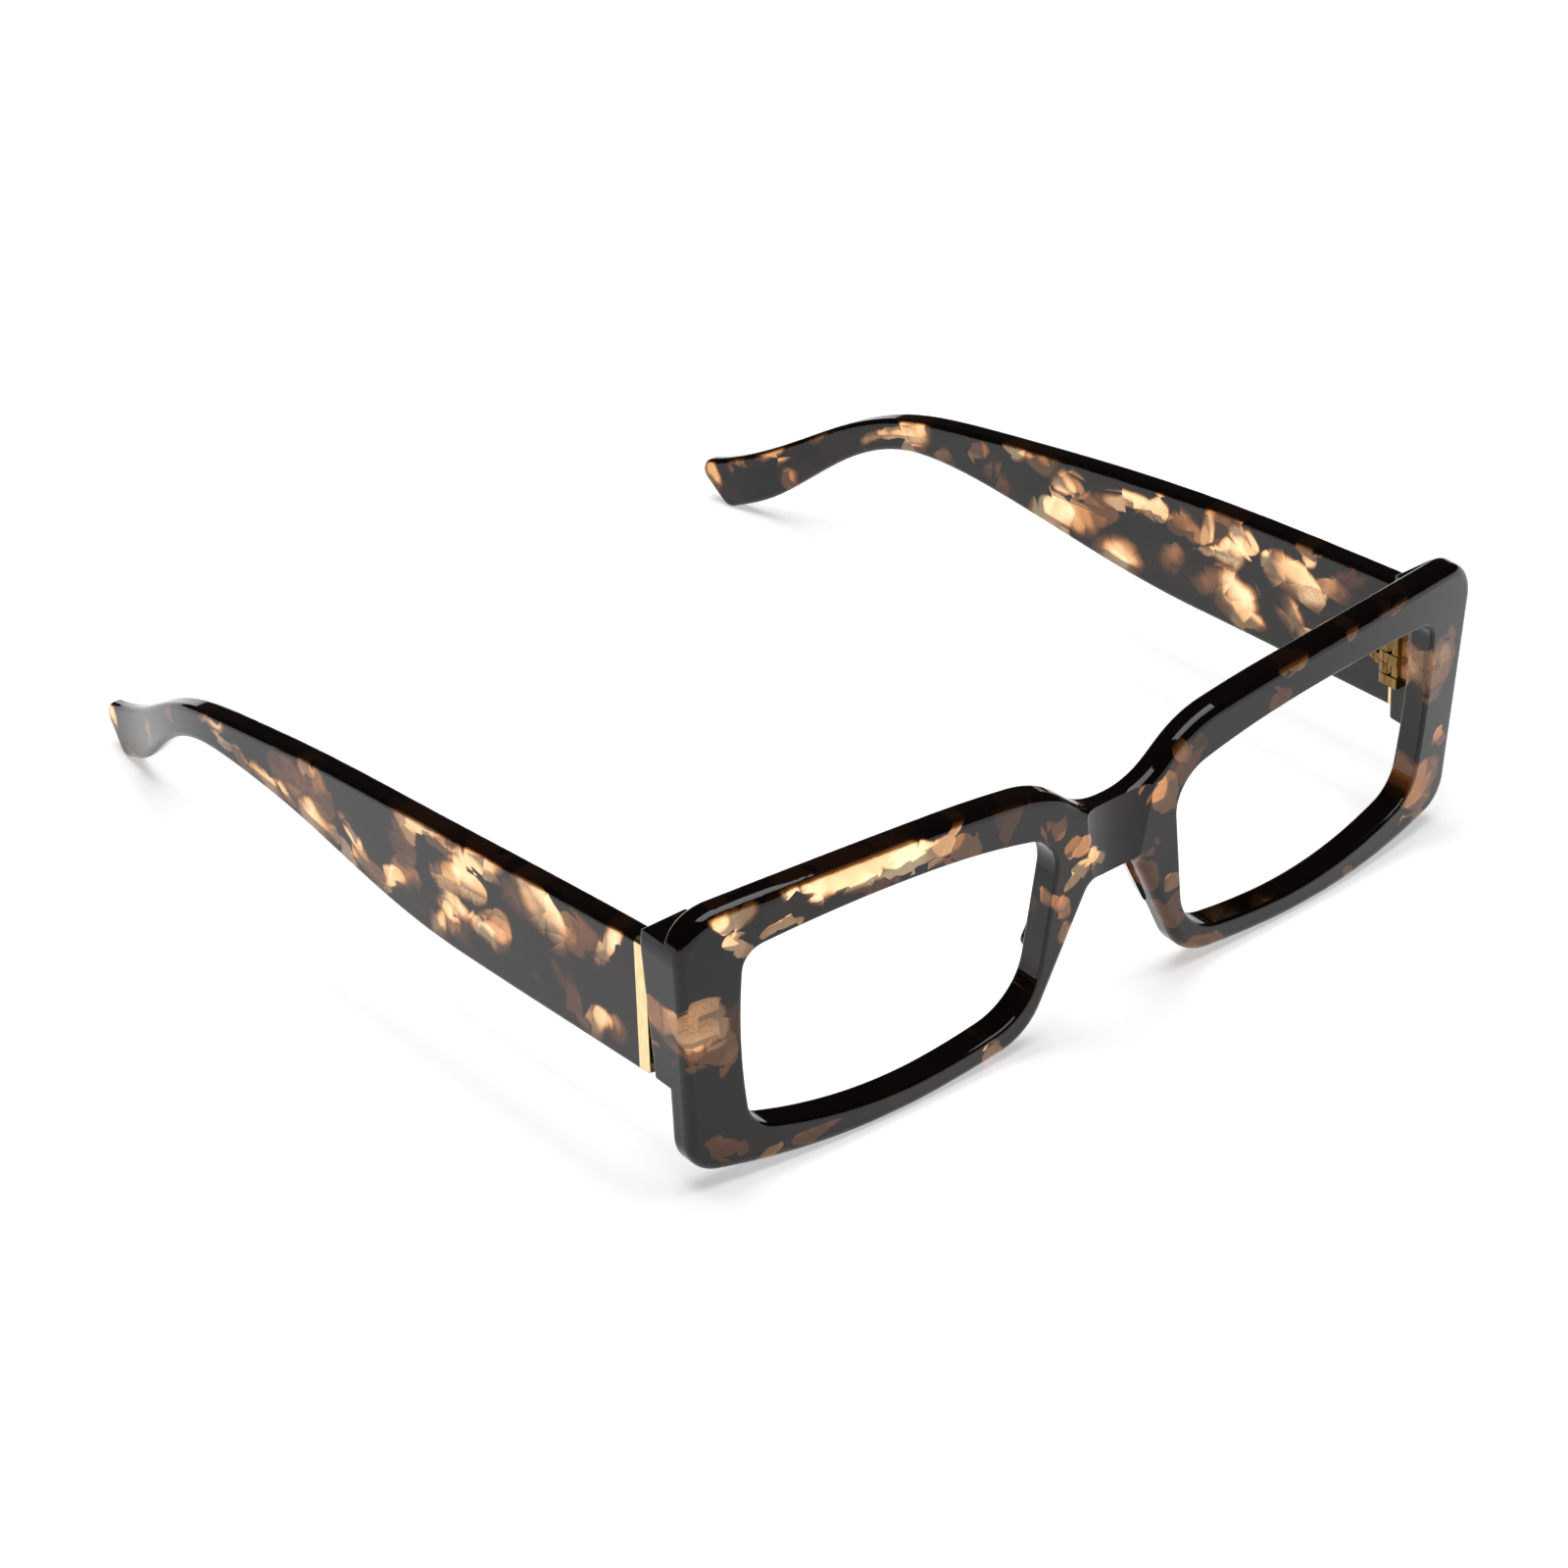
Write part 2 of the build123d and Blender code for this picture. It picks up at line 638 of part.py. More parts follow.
os.makedirs("parts", exist_ok=True)
write(front_frame, "front_frame")
write_pair(nose_pad, "nose_pad")
write_pair(hinge_anchor, "hinge_anchor")
write_pair(hinge_front, "hinge_front")
write_pair(front_rivets, "front_rivets")
write_pair(hinge_screw, "hinge_screw")
write_pair(hinge_temple, "hinge_temple")
write_pair(leaf_rivets, "leaf_rivets")
write_pair(end_plate, "end_plate")
write_pair(temple, "temple")
write_pair(core_wire, "core_wire")
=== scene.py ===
"""Looks of a tortoise acetate eyeglasses frame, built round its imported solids."""

import logging
import math
from dataclasses import dataclass
from enum import Enum

import bmesh
import bpy
from mathutils import Matrix, Vector

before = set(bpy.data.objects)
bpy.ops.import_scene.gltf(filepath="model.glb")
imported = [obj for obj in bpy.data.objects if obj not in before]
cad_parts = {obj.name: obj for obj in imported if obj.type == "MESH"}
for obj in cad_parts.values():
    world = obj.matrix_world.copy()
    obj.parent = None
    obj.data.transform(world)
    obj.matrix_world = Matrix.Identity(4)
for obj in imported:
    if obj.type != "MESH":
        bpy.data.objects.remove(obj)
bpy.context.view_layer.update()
MM = 0.001
log = logging.getLogger("eyeglasses")


def linear(code: str) -> tuple[float, float, float, float]:
    """Turns an sRGB hex colour into a linear one.

    Args:
        code: Six hex digits, such as "E9C08C".

    Returns:
        Linear red, green and blue, and an alpha of 1.
    """
    parts = [int(code[i : i + 2], 16) / 255 for i in (0, 2, 4)]
    red, green, blue = (p / 12.92 if p <= 0.04045 else ((p + 0.055) / 1.055) ** 2.4 for p in parts)
    return (red, green, blue, 1.0)


def add_node(
    tree: bpy.types.NodeTree, kind: str, inputs: dict | None = None, **settings: object
) -> bpy.types.Node:
    """Adds one node with its settings and links.

    Args:
        tree: The node tree that gets the node.
        kind: The node's type name, without the "ShaderNode" in front.
        inputs: Input name or index, to a value or to the output socket that feeds it.
        **settings: Properties of the node itself.

    Returns:
        The new node.
    """
    node = tree.nodes.new("ShaderNode" + kind)
    for key, value in settings.items():
        setattr(node, key, value)
    for key, value in (inputs or {}).items():
        if isinstance(value, bpy.types.NodeSocket):
            tree.links.new(value, node.inputs[key])
        else:
            node.inputs[key].default_value = value
    return node


def fill_ramp(node: bpy.types.Node, stops: list[tuple[float, str]]) -> None:
    """Sets the stops of a colour ramp.

    Args:
        node: The colour ramp node.
        stops: Position and sRGB hex colour of each stop, in order.
    """
    elements = node.color_ramp.elements
    while len(elements) < len(stops):
        elements.new(0.5)
    for element, (place, code) in zip(elements, stops):
        element.position = place
        element.color = linear(code)


def new_material(name: str) -> tuple[bpy.types.Material, bpy.types.NodeTree, bpy.types.Node]:
    """Makes an empty node material.

    Args:
        name: The finish's name.

    Returns:
        The material, its node tree and its Principled shader, linked to the output.
    """
    material = bpy.data.materials.new(name)
    material.use_nodes = True
    tree = material.node_tree
    tree.nodes.clear()
    shader = add_node(tree, "BsdfPrincipled")
    add_node(tree, "OutputMaterial", {"Surface": shader.outputs["BSDF"]})
    return material, tree, shader


# Tones of the acetate, from the dark ground to the palest amber.
TONES = [
    (0.0, "0B0706"),
    (0.24, "24130B"),
    (0.45, "74431F"),
    (0.64, "BE8049"),
    (0.82, "E6B884"),
    (0.98, "F6D6AC"),
]


class Lie(Enum):
    """Which way a sheet of acetate lies: its patches run through its thickness."""

    FRONT = "across X"
    TEMPLE = "along Y"


@dataclass(frozen=True)
class Shard:
    """One pale shard in the acetate, in millimetres on its sheet, with its tone from 0 dark to 1 pale."""

    along: float
    up: float
    length: float
    height: float
    turn: float
    tone: float


@dataclass(frozen=True)
class TortoiseAcetate:
    """Cellulose acetate, block-pressed from dark and amber shards, cut, and tumbled to a deep gloss.

    The dark ground is nearly opaque and reads as polished black-brown. The amber shards let the light
    of the floor through, so they glow against it, and an emission adds a painted glow on top; faces that
    look up are darkened as painted shade. Lengths are in millimetres.
    """

    name: str
    lie: Lie
    shards: tuple[Shard, ...]
    chip: float = 3.6           # size of the broken corners along a shard's edge
    jag: float = 0.9            # how far those corners stand out
    drift: float = 0.9          # slow wander of the edges
    crisp: float = 0.05         # narrowest change from amber to dark, as a share of a shard's size
    soft: float = 0.22          # widest change
    scatter: float = 0.92       # share of the small loose shards that stay dark
    spread: float = 0.62        # half a shard, and what its fading edge takes off
    glow: float = 0.34          # painted glow: emission strength on the palest shards, standing in for light they gather
    wave: float = 6.0           # size of the slow bends in a shard's edge
    blur: float = 7.0           # how often an edge turns from crisp to soft
    crumb: float = 6.0          # size of the small loose shards
    facet: float = 4.5          # size of the lighter and darker parts within a shard
    cloud: float = 9.0          # size of the brown clouds in the dark ground
    ripple: float = 5.0         # size of the ripples that tumbling leaves in the gloss
    index: float = 1.49         # refractive index of cellulose acetate
    gloss: float = 0.38         # strength of the clear reflections on its surface

    def bend_space(self, tree: bpy.types.NodeTree, place: bpy.types.NodeSocket) -> bpy.types.NodeSocket:
        """Breaks and bends the straight space, so that round shards get jagged edges.

        Args:
            tree: The material's node tree.
            place: The point in object space.

        Returns:
            The moved point's socket.
        """
        chips = add_node(tree, "TexVoronoi", {"Vector": place, "Scale": 1 / (self.chip * MM)})
        waves = add_node(tree, "TexNoise", {"Vector": place, "Scale": 1 / (self.wave * MM), "Detail": 1.5})
        bent = place
        for source, reach in ((chips, 2 * self.jag), (waves, 4 * self.drift)):
            about = add_node(
                tree, "VectorMath", {0: source.outputs["Color"], 1: (0.5, 0.5, 0.5)}, operation="SUBTRACT"
            )
            push = add_node(tree, "VectorMath", {0: about.outputs[0], "Scale": reach * MM}, operation="SCALE")
            bent = add_node(tree, "VectorMath", {0: bent, 1: push.outputs[0]}, operation="ADD").outputs[0]
        return bent

    def measure(
        self, tree: bpy.types.NodeTree, place: bpy.types.NodeSocket, shard: Shard
    ) -> bpy.types.NodeSocket:
        """Measures how far a point is from a shard's centre, as a share of the shard's size.

        Args:
            tree: The material's node tree.
            place: The point's socket.
            shard: The shard.

        Returns:
            The distance's socket: 1 on the shard's outline.
        """
        turn = math.radians(shard.turn)
        long, high, through = shard.length * self.spread * MM, shard.height * self.spread * MM, 1.0
        if self.lie is Lie.FRONT:
            setting = ((shard.along * MM, 0, shard.up * MM), (0, -turn, 0), (long, through, high))
        else:
            setting = ((0, shard.along * MM, shard.up * MM), (turn, 0, 0), (through, long, high))
        centre, rotation, size = setting
        local = add_node(
            tree,
            "Mapping",
            {"Vector": place, "Location": centre, "Rotation": rotation, "Scale": size},
            vector_type="TEXTURE",
        )
        return add_node(tree, "VectorMath", {0: local.outputs[0]}, operation="LENGTH").outputs["Value"]

    def tone(self, tree: bpy.types.NodeTree, place: bpy.types.NodeSocket) -> bpy.types.NodeSocket:
        """Lays out the shards: 0 in the dark ground, up to 1 inside the palest shards.

        Args:
            tree: The material's node tree.
            place: The point in object space.

        Returns:
            The tone's socket.
        """
        bent = self.bend_space(tree, place)
        blur = add_node(tree, "TexNoise", {"Vector": place, "Scale": 1 / (self.blur * MM), "Detail": 0.0})
        width = add_node(
            tree,
            "MapRange",
            {
                "Value": blur.outputs["Fac"],
                "From Min": 0.35,
                "From Max": 0.65,
                "To Min": self.crisp,
                "To Max": self.soft,
            },
        )
        outside = add_node(tree, "Math", {0: 1.0, 1: width.outputs[0]}, operation="ADD").outputs[0]
        inside = add_node(tree, "Math", {0: 1.0, 1: width.outputs[0]}, operation="SUBTRACT").outputs[0]
        loose = add_node(
            tree,
            "TexVoronoi",
            {"Vector": bent, "Scale": 1 / (self.crumb * MM), "Smoothness": 0.2},
            feature="SMOOTH_F1",
        )
        draw = add_node(tree, "SeparateColor", {"Color": loose.outputs["Color"]})
        total = add_node(
            tree,
            "MapRange",
            {
                "Value": draw.outputs[0],
                "From Min": self.scatter - 0.05,
                "From Max": self.scatter + 0.08,
                "To Max": 0.45,
            },
        ).outputs[0]
        for shard in self.shards:
            mask = add_node(
                tree,
                "MapRange",
                {
                    "Value": self.measure(tree, bent, shard),
                    "From Min": outside,
                    "From Max": inside,
                    "To Max": shard.tone,
                },
                interpolation_type="SMOOTHSTEP",
            )
            total = add_node(tree, "Math", {0: total, 1: mask.outputs[0]}, operation="MAXIMUM").outputs[0]
        facets = add_node(
            tree,
            "TexVoronoi",
            {"Vector": bent, "Scale": 1 / (self.facet * MM), "Smoothness": 0.35},
            feature="SMOOTH_F1",
        )
        facet_draw = add_node(tree, "SeparateColor", {"Color": facets.outputs["Color"]})
        shade = add_node(tree, "MapRange", {"Value": facet_draw.outputs[1], "To Min": 0.8, "To Max": 1.04})
        return add_node(tree, "Math", {0: total, 1: shade.outputs[0]}, operation="MULTIPLY").outputs[0]

    def material(self) -> bpy.types.Material:
        """Builds the acetate.

        Returns:
            The finished material.
        """
        material, tree, shader = new_material(self.name)
        spaces = add_node(tree, "TexCoord")
        place = spaces.outputs["Object"]
        amber = self.tone(tree, place)
        ground = add_node(tree, "TexNoise", {"Vector": place, "Scale": 1 / (self.cloud * MM), "Detail": 4.0})
        murk = add_node(
            tree,
            "MapRange",
            {"Value": ground.outputs["Fac"], "From Min": 0.45, "From Max": 0.8, "To Max": 0.14},
        )
        # Painted shade: the pattern, its clearness and its painted glow fade out on faces that look up,
        # darkening the tops.
        facing = add_node(tree, "SeparateXYZ", {"Vector": spaces.outputs["Normal"]})
        painted_top_shade = add_node(
            tree,
            "MapRange",
            {"Value": facing.outputs["Z"], "From Min": 0.35, "From Max": 0.8, "To Min": 1.0, "To Max": 0.22},
        )
        level = add_node(tree, "Math", {0: amber, 1: murk.outputs[0]}, operation="MAXIMUM").outputs[0]
        level = add_node(tree, "Math", {0: level, 1: painted_top_shade.outputs[0]}, operation="MULTIPLY").outputs[0]
        tint = add_node(tree, "ValToRGB", {"Fac": level})
        fill_ramp(tint, TONES)
        clear = add_node(
            tree, "MapRange", {"Value": level, "From Min": 0.25, "From Max": 0.6, "To Max": 0.9}
        )
        polish = add_node(tree, "TexNoise", {"Vector": place, "Scale": 1 / (self.ripple * MM), "Detail": 2.0})
        bump = add_node(
            tree, "Bump", {"Height": polish.outputs["Fac"], "Strength": 0.04, "Distance": 0.05 * MM}
        )
        haze = add_node(tree, "MapRange", {"Value": polish.outputs["Fac"], "To Min": 0.02, "To Max": 0.07})
        tree.links.new(tint.outputs["Color"], shader.inputs["Base Color"])
        tree.links.new(clear.outputs[0], shader.inputs["Transmission Weight"])
        tree.links.new(haze.outputs[0], shader.inputs["Roughness"])
        tree.links.new(bump.outputs[0], shader.inputs["Normal"])
        # Painted glow: emission in the acetate's own tint, strongest in the palest shards, though the acetate
        # is no lamp.
        painted_glow_strength = add_node(
            tree, "MapRange", {"Value": level, "From Min": 0.3, "From Max": 0.95, "To Max": self.glow}
        )
        tree.links.new(tint.outputs["Color"], shader.inputs["Emission Color"])
        tree.links.new(painted_glow_strength.outputs[0], shader.inputs["Emission Strength"])
        shader.inputs["IOR"].default_value = self.index
        shader.inputs["Specular IOR Level"].default_value = self.gloss
        return material


@dataclass(frozen=True)
class PlatedGold:
    """Pale gold plating over polished nickel silver.

    It gives the eye a warm mirror whose highlights are drawn out a little by faint buffing lines.
    """

    name: str = "gold_plating"
    colour: str = "F6DFB0"
    deep: str = "E8C68C"
    buffing: float = 0.12       # spacing of the buffing lines, coarser than real so that it shows

    def material(self) -> bpy.types.Material:
        """Builds the plating.

        Returns:
            The finished material.
        """
        material, tree, shader = new_material(self.name)
        place = add_node(tree, "TexCoord").outputs["Object"]
        drawn = add_node(tree, "Mapping", {"Vector": place, "Scale": (1.0, 1.0, 0.06)})
        lines = add_node(
            tree,
            "TexNoise",
            {"Vector": drawn.outputs[0], "Scale": 1 / (self.buffing * MM), "Detail": 3.0},
        )
        tone = add_node(tree, "ValToRGB", {"Fac": lines.outputs["Fac"]})
        fill_ramp(tone, [(0.35, self.deep), (0.6, self.colour)])
        rough = add_node(tree, "MapRange", {"Value": lines.outputs["Fac"], "To Min": 0.14, "To Max": 0.30})
        bump = add_node(
            tree, "Bump", {"Height": lines.outputs["Fac"], "Strength": 0.08, "Distance": 0.02 * MM}
        )
        tree.links.new(tone.outputs["Color"], shader.inputs["Base Color"])
        tree.links.new(rough.outputs[0], shader.inputs["Roughness"])
        tree.links.new(bump.outputs[0], shader.inputs["Normal"])
        shader.inputs["Metallic"].default_value = 1.0
        return material


@dataclass(frozen=True)
class NickelSilver:
    """Bare nickel silver, drawn as wire and stippled by a punch where it grips the acetate.

    It gives the eye a grey, slightly warm metal that breaks its highlights into small dots.
    """

    name: str = "nickel_silver"
    colour: str = "C9BFAE"
    dull: str = "8C7F6C"
    stipple: float = 0.35       # pitch of the punch marks
    rough: float = 0.38         # blur of its reflections
    glow: float = 0.0           # painted glow: emission strength on a sunk piece, standing in for light the amber round it gathers

    def material(self) -> bpy.types.Material:
        """Builds the metal.

        Returns:
            The finished material.
        """
        material, tree, shader = new_material(self.name)
        place = add_node(tree, "TexCoord").outputs["Object"]
        dots = add_node(tree, "TexVoronoi", {"Vector": place, "Scale": 1 / (self.stipple * MM)})
        tone = add_node(tree, "ValToRGB", {"Fac": dots.outputs["Distance"]})
        fill_ramp(tone, [(0.1, self.dull), (0.5, self.colour)])
        bump = add_node(
            tree, "Bump", {"Height": dots.outputs["Distance"], "Strength": 0.6, "Distance": 0.06 * MM}
        )
        tree.links.new(tone.outputs["Color"], shader.inputs["Base Color"])
        tree.links.new(bump.outputs[0], shader.inputs["Normal"])
        shader.inputs["Metallic"].default_value = 1.0
        shader.inputs["Roughness"].default_value = self.rough
        # Painted glow: emission in the metal's own tint lights up a sunk piece inside the acetate.
        tree.links.new(tone.outputs["Color"], shader.inputs["Emission Color"])
        shader.inputs["Emission Strength"].default_value = self.glow
        return material


def dress(node: str, material: bpy.types.Material) -> None:
    """Gives one material to every slot of a CAD node.

    Args:
        node: The node's name.
        material: The finish.
    """
    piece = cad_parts[node]
    if not piece.material_slots:
        piece.data.materials.append(material)
    for slot in piece.material_slots:
        slot.material = material
    log.info("%s wears %s", node, material.name)


FRONT_SHARDS = (
    Shard(-52.5, 42.5, 6, 3.6, -35, 0.95),
    Shard(-44, 40.8, 15, 5.4, 0, 1.0),
    Shard(-35, 39, 10, 2.8, -6, 1.0),
    Shard(-29, 41, 8.5, 1.8, 38, 0.95),
    Shard(-27.5, 37.5, 4, 3.6, -20, 0.6),
    Shard(-56, 37.0, 4.5, 1.5, 8, 0.8),
    Shard(-63.3, 41, 4.2, 4.5, 70, 0.95),
    Shard(-63.2, 37, 2.2, 4.5, 75, 0.9),
    Shard(-67.5, 26, 6.5, 6, 0, 0.78),
    Shard(-66.3, 22.5, 5, 5.5, 60, 0.62),
    Shard(-64.3, 20, 2, 4, 0, 0.5),
    Shard(-12.3, 33.8, 2.6, 4.6, 0, 0.5),
    Shard(-7, 28.8, 4.6, 3.2, -20, 0.55),
    Shard(-3.6, 25.6, 3.6, 2.8, -30, 0.85),
    Shard(-7.3, 24.2, 4.2, 2.8, 20, 0.8),
    Shard(-9.6, 20.6, 4.8, 2.4, -55, 0.8),
    Shard(-9.4, 16.2, 3.0, 2.6, 30, 0.72),
    Shard(-15.4, 13.2, 2.2, 4.4, 10, 0.9),
    Shard(-63.5, 5.6, 5, 2.4, -20, 0.45),
    Shard(-57, 2.7, 3.6, 1.3, 0, 0.72),
    Shard(-50, 2.6, 7, 1.8, 0, 0.45),
    Shard(-21.3, 2.9, 2.8, 2.8, 45, 0.72),
    Shard(30.8, 41.7, 4, 2.6, 0, 0.7),
    Shard(28.7, 37.4, 5, 3, 0, 0.48),
    Shard(42.8, 42.4, 2.6, 2.4, 45, 0.6),
    Shard(52.5, 42.8, 8, 1.4, 5, 0.45),
    Shard(10.8, 36, 2, 3.4, 30, 0.6),
    Shard(7.8, 31.2, 5.4, 4.6, -30, 0.66),
    Shard(12.2, 33.2, 4.6, 3, 20, 0.45),
    Shard(10.2, 15.8, 3.6, 2.4, -25, 0.66),
    Shard(17, 2.9, 7, 3.6, -20, 0.5),
    Shard(46.8, 2, 1.6, 2.4, 30, 0.55),
    Shard(62.6, 8.6, 6.6, 6.4, 0, 0.62),
    Shard(58.5, 10.8, 4, 4.4, 30, 0.6),
    Shard(62, 4.6, 6, 1.8, 10, 0.66),
    Shard(63.6, 26.5, 6, 7, 0, 0.6),
    Shard(66.3, 28, 2.4, 6, 10, 0.5),
    Shard(66.4, 14.6, 2.2, 3, 0, 0.66),
    Shard(60.8, 27.5, 2.4, 5.4, 0, 0.7),
)
LEFT_SHARDS = (
    Shard(-56.4, 31.6, 7, 2.8, -62, 0.95),
    Shard(-43, 31, 9.5, 5.6, 32, 0.97),
    Shard(-50, 30.8, 8, 5, 0, 0.5),
    Shard(-38.2, 29.6, 6, 4, 35, 0.6),
    Shard(-31, 32.6, 7.4, 3.2, -10, 0.92),
    Shard(-25.6, 30.6, 3, 4.4, 0, 0.9),
    Shard(-26.6, 27.6, 8.4, 4, 0, 0.97),
    Shard(-22.6, 26, 5, 4, -30, 0.74),
    Shard(-32.6, 23.2, 6.4, 4.8, -30, 0.66),
    Shard(-30, 21.2, 5, 3, 0, 0.95),
    Shard(-24, 22.2, 6.4, 3.6, 0, 0.9),
    Shard(-20.8, 18.2, 2.6, 4.6, 0, 0.92),
    Shard(-24.4, 19.8, 5, 3, 20, 0.5),
    Shard(-17.4, 32.2, 9.4, 2.4, -4, 0.95),
    Shard(-14.2, 30.6, 4, 3.6, -20, 0.92),
    Shard(-21.4, 31.2, 6, 3, 0, 0.6),
    Shard(-12.4, 27.6, 5, 4.4, 0, 0.46),
    Shard(-13.4, 22.2, 6, 5, -30, 0.52),
    Shard(-9.9, 19.4, 7.4, 2.8, -24, 0.97),
    Shard(-4.2, 20.2, 8, 3, 12, 0.7),
    Shard(-0.4, 22.8, 5.4, 2, 20, 0.86),
    Shard(3.4, 19.9, 7, 2.2, 14, 0.9),
    Shard(-54, 18.6, 6, 3.4, -48, 0.95),
    Shard(-57.6, 19.8, 4.6, 4, 0, 0.5),
    Shard(-49.6, 19.8, 2.4, 7, -8, 0.56),
    Shard(-47, 22.4, 5, 2, 30, 0.42),
    Shard(7.2, 26.8, 5, 4.2, 0, 0.6),
    Shard(9.9, 28.6, 2.6, 3, 0, 0.85),
    Shard(9.3, 20.9, 7, 3.8, 14, 0.96),
    Shard(14.2, 25.4, 8, 5, 0, 0.52),
    Shard(15.8, 22.2, 4, 2, 20, 0.9),
    Shard(20.7, 21.0, 8, 2, 14, 0.86),
    Shard(26.3, 22.2, 5, 1.8, 10, 0.72),
    Shard(34, 24.8, 5.4, 2.2, -8, 0.9),
    Shard(31.4, 22.8, 5, 1.4, 5, 0.9),
    Shard(48.3, 19.4, 2.4, 1.8, -40, 0.55),
    Shard(59.3, 10.4, 3.2, 3.6, -30, 0.62),
    Shard(76.2, 5.0, 4.5, 7, 0, 0.97),
    Shard(69, 2, 4.4, 2.2, 0, 0.5),
)
RIGHT_SHARDS = (
    Shard(-46, 34, 3, 4.4, 0, 0.85),
    Shard(-43, 28.6, 10, 5, 12, 0.95),
    Shard(-50.4, 29.2, 7, 3.4, 0, 0.5),
    Shard(-43.4, 22, 6.4, 3, 42, 0.86),
    Shard(-57.4, 26, 3.4, 3, 0, 0.5),
    Shard(-62.5, 21.6, 5, 6.4, 0, 0.85),
    Shard(-54, 32.6, 6, 3, -20, 0.4),
    Shard(-33.4, 31, 5.4, 3.2, 24, 0.95),
    Shard(-28.4, 32.6, 6, 1.6, -6, 0.7),
    Shard(-25, 29.4, 2.4, 6.4, 10, 0.8),
    Shard(-30.6, 27.4, 5.4, 3.6, -30, 0.97),
    Shard(-27.4, 26.4, 5, 2, -12, 0.9),
    Shard(-31.6, 21.2, 7, 6.4, 0, 0.97),
    Shard(-34, 17.8, 6, 3, 0, 0.92),
    Shard(-25.4, 21.2, 5, 4, -20, 0.52),
    Shard(-20.8, 28, 6, 3.4, 0, 0.56),
    Shard(-15.3, 28.9, 5, 3, -20, 0.97),
    Shard(-9, 28.2, 8.4, 2.8, -12, 0.95),
    Shard(-18.4, 21.6, 5, 3.8, 0, 0.56),
    Shard(-7.6, 18.4, 8.4, 4, -16, 0.97),
    Shard(-3.8, 24.6, 6, 6, 0, 0.46),
    Shard(0.9, 26.8, 4, 3, 0, 0.6),
    Shard(3.7, 26.0, 5.4, 3.6, -20, 0.95),
    Shard(-0.1, 21.6, 6, 5, 0, 0.64),
    Shard(5.8, 20.8, 6.4, 4.6, 0, 0.97),
    Shard(8.5, 29, 5, 4, 0, 0.6),
    Shard(13.7, 28.8, 4.4, 3.4, 0, 0.97),
    Shard(16.5, 22.3, 5, 3, 0, 0.44),
    Shard(20.7, 25.4, 4, 3, 0, 0.62),
    Shard(28.2, 22.4, 4, 1.6, 0, 0.74),
    Shard(35.5, 24.6, 4.4, 4, -20, 0.95),
    Shard(38.4, 21.4, 6, 2, -16, 0.92),
    Shard(43.1, 19.8, 4.6, 1.8, -30, 0.82),
    Shard(54.7, 17.1, 4, 2, -40, 0.62),
    Shard(62.9, 11.8, 6, 2.2, -36, 0.82),
    Shard(60, 9.2, 3.4, 2.6, -20, 0.6),
    Shard(75.8, 4.8, 4.6, 5.4, 0, 0.85),
    Shard(70, 8.0, 3.6, 2, -20, 0.72),
)


@dataclass
class FrontAssembly:
    """The acetate front with its pads, anchors, hinge leaves, rivets and screws."""

    acetate: TortoiseAcetate = TortoiseAcetate("tortoise_front", Lie.FRONT, FRONT_SHARDS)

    def build(self, brass: bpy.types.Material, steel: bpy.types.Material, sunk: bpy.types.Material) -> None:
        """Dresses the front's pieces.

        Args:
            brass: Plated finish of the hinge.
            steel: Bare metal of the screws.
            sunk: Bare metal inside the acetate.
        """
        acetate = self.acetate.material()
        dress("front_frame", acetate)
        for side in ("left", "right"):
            dress(f"nose_pad_{side}", acetate)
            dress(f"hinge_front_{side}", brass)
            dress(f"front_rivets_{side}", brass)
            dress(f"hinge_screw_{side}", steel)
            dress(f"hinge_anchor_{side}", sunk)


@dataclass
class TempleAssembly:
    """One temple with its end plate, hinge leaf, rivets and core wire."""

    side: str
    acetate: TortoiseAcetate

    def build(self, gold: bpy.types.Material, brass: bpy.types.Material, sunk: bpy.types.Material) -> None:
        """Dresses the temple's pieces.

        Args:
            gold: Plated finish of the end plate.
            brass: Plated finish of the hinge.
            sunk: Bare metal inside the acetate.
        """
        dress(f"temple_{self.side}", self.acetate.material())
        dress(f"end_plate_{self.side}", gold)
        dress(f"hinge_temple_{self.side}", brass)
        dress(f"leaf_rivets_{self.side}", brass)
        dress(f"core_wire_{self.side}", sunk)


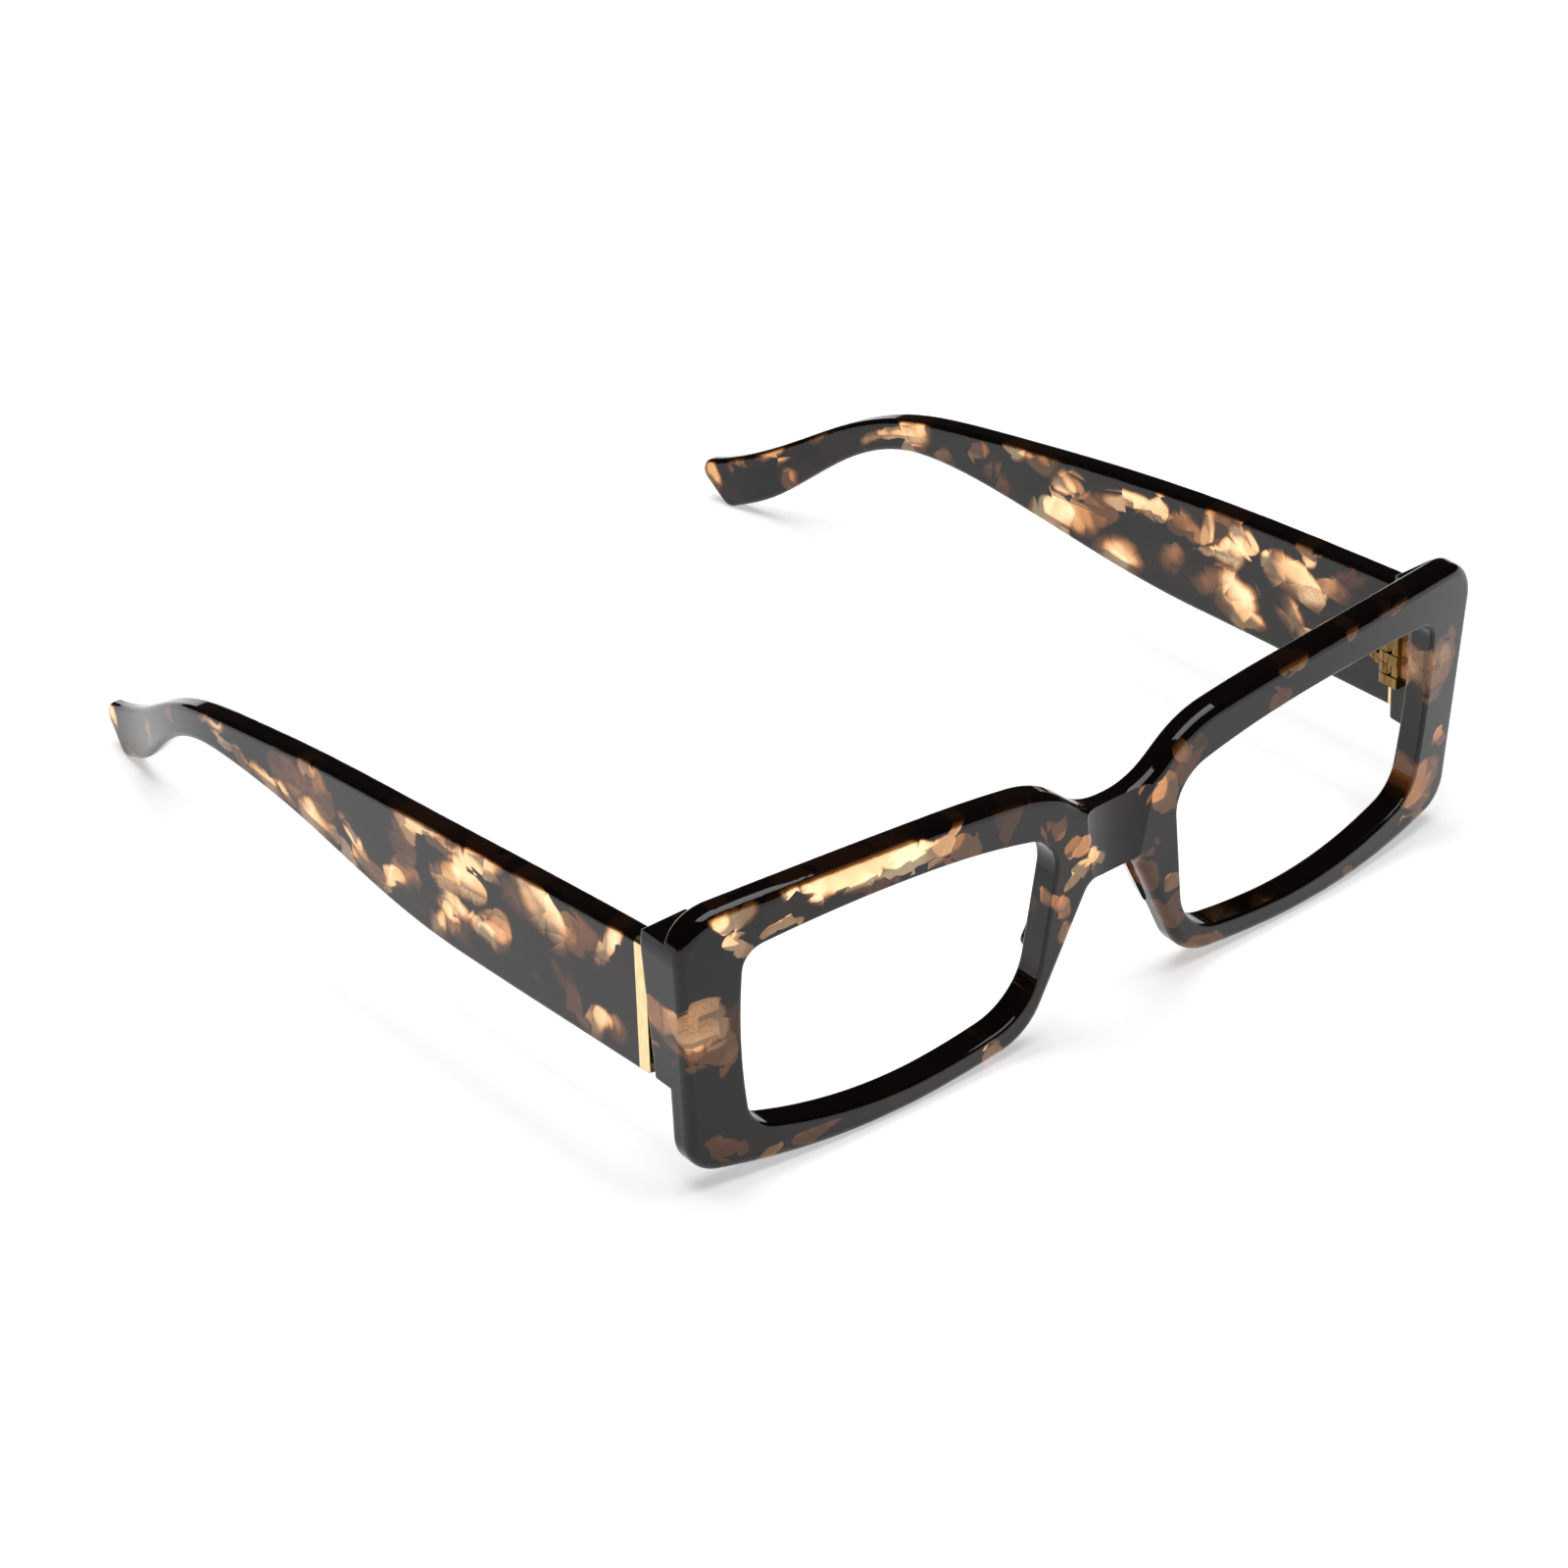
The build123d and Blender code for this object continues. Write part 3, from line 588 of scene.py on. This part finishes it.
@dataclass
class Studio:
    """White floor, an overhead soft box and the camera."""

    floor_half: float = 3.0     # metres from the middle of the floor to its side
    floor_glow: float = 0.55    # light table under the paper
    paper_grain: float = 3.0    # size of the mottling of the paper, in millimetres
    box_size: float = 1.0
    box_height: float = 1.2
    box_power: float = 13.0
    room: float = 0.02          # how bright the dark room looks in reflections
    glow: float = 0.8           # and to light that comes through the amber
    azimuth: float = -39.52
    elevation: float = 30.53
    roll: float = -1.84
    distance: float = 0.7066
    lens: float = 116.3
    sensor: float = 36.0
    aim: tuple[float, float, float] = (-0.00484, -0.01392, 0.01054)

    def floor(self) -> None:
        """Lays the white floor under the frame."""
        mesh = bpy.data.meshes.new("floor")
        shape = bmesh.new()
        bmesh.ops.create_grid(shape, x_segments=1, y_segments=1, size=self.floor_half)
        shape.to_mesh(mesh)
        shape.free()
        floor = bpy.data.objects.new("floor", mesh)
        bpy.context.collection.objects.link(floor)
        material, tree, shader = new_material("white_paper")
        place = add_node(tree, "TexCoord").outputs["Object"]
        grain = add_node(
            tree, "TexNoise", {"Vector": place, "Scale": 1 / (self.paper_grain * MM), "Detail": 2.0}
        )
        tone = add_node(tree, "ValToRGB", {"Fac": grain.outputs["Fac"]})
        fill_ramp(tone, [(0.3, "F6F6F6"), (0.7, "F8F8F8")])
        tree.links.new(tone.outputs["Color"], shader.inputs["Base Color"])
        tree.links.new(tone.outputs["Color"], shader.inputs["Emission Color"])
        shader.inputs["Emission Strength"].default_value = self.floor_glow
        shader.inputs["Roughness"].default_value = 0.9
        shader.inputs["Specular IOR Level"].default_value = 0.1
        mesh.materials.append(material)

    def lights(self) -> None:
        """Hangs the soft box and darkens the room, save for light through the amber."""
        world = bpy.data.worlds.new("studio")
        world.use_nodes = True
        tree = world.node_tree
        back = tree.nodes["Background"]
        back.inputs["Color"].default_value = (1, 1, 1, 1)
        path = add_node(tree, "LightPath")
        power = add_node(
            tree,
            "MapRange",
            {"Value": path.outputs["Is Transmission Ray"], "To Min": self.room, "To Max": self.glow},
        )
        tree.links.new(power.outputs[0], back.inputs["Strength"])
        bpy.context.scene.world = world
        self.soft_box("overhead", (0.0, 0.0, self.box_height), self.box_size, self.box_power)

    def soft_box(
        self, name: str, place: tuple[float, float, float], size: float, power: float
    ) -> None:
        """Hangs one square soft box that faces the frame.

        Args:
            name: The light's name.
            place: Its centre.
            size: Its side.
            power: Its power in watts.
        """
        data = bpy.data.lights.new(name, "AREA")
        data.shape = "SQUARE"
        data.size = size
        data.energy = power
        box = bpy.data.objects.new(name, data)
        box.location = place
        box.rotation_mode = "QUATERNION"
        box.rotation_quaternion = Vector(place).to_track_quat("Z", "Y")
        bpy.context.collection.objects.link(box)

    def camera(self) -> None:
        """Sets the camera at its azimuth, elevation and roll, looking at the aim point."""
        across, high = math.radians(self.azimuth), math.radians(self.elevation)
        back = Vector(
            (math.sin(across) * math.cos(high), -math.cos(across) * math.cos(high), math.sin(high))
        )
        right = (-back).cross(Vector((0, 0, 1))).normalized()
        up = right.cross(-back)
        lean = math.radians(self.roll)
        side = right * math.cos(lean) + up * math.sin(lean)
        top = up * math.cos(lean) - right * math.sin(lean)
        data = bpy.data.cameras.new("camera")
        data.lens = self.lens
        data.sensor_width = self.sensor
        data.clip_start = 0.01
        camera = bpy.data.objects.new("camera", data)
        turn = Matrix((side, top, back)).transposed().to_4x4()
        camera.matrix_world = Matrix.Translation(Vector(self.aim) + back * self.distance) @ turn
        bpy.context.collection.objects.link(camera)
        bpy.context.scene.camera = camera


def main() -> None:
    """Builds the looks piece by piece."""
    logging.basicConfig(level=logging.INFO)
    gold = PlatedGold().material()
    brass = PlatedGold("hinge_plating", "8F7040", "4A3820").material()
    steel = NickelSilver().material()
    # The sunk pieces carry a painted glow, an emission that makes them show through the amber.
    sunk = NickelSilver("sunk_nickel_silver", glow=0.3).material()
    FrontAssembly().build(brass, steel, sunk)
    for side, shards in (("left", LEFT_SHARDS), ("right", RIGHT_SHARDS)):
        # The temples' acetate gets a weaker painted glow than the front.
        acetate = TortoiseAcetate(
            f"tortoise_temple_{side}", Lie.TEMPLE, shards, chip=4.6, crisp=0.1, soft=0.7, glow=0.26
        )
        TempleAssembly(side, acetate).build(gold, brass, sunk)
    studio = Studio()
    studio.floor()
    studio.lights()
    studio.camera()
    bpy.context.scene.view_settings.view_transform = "Standard"


if __name__ == "__main__":
    main()
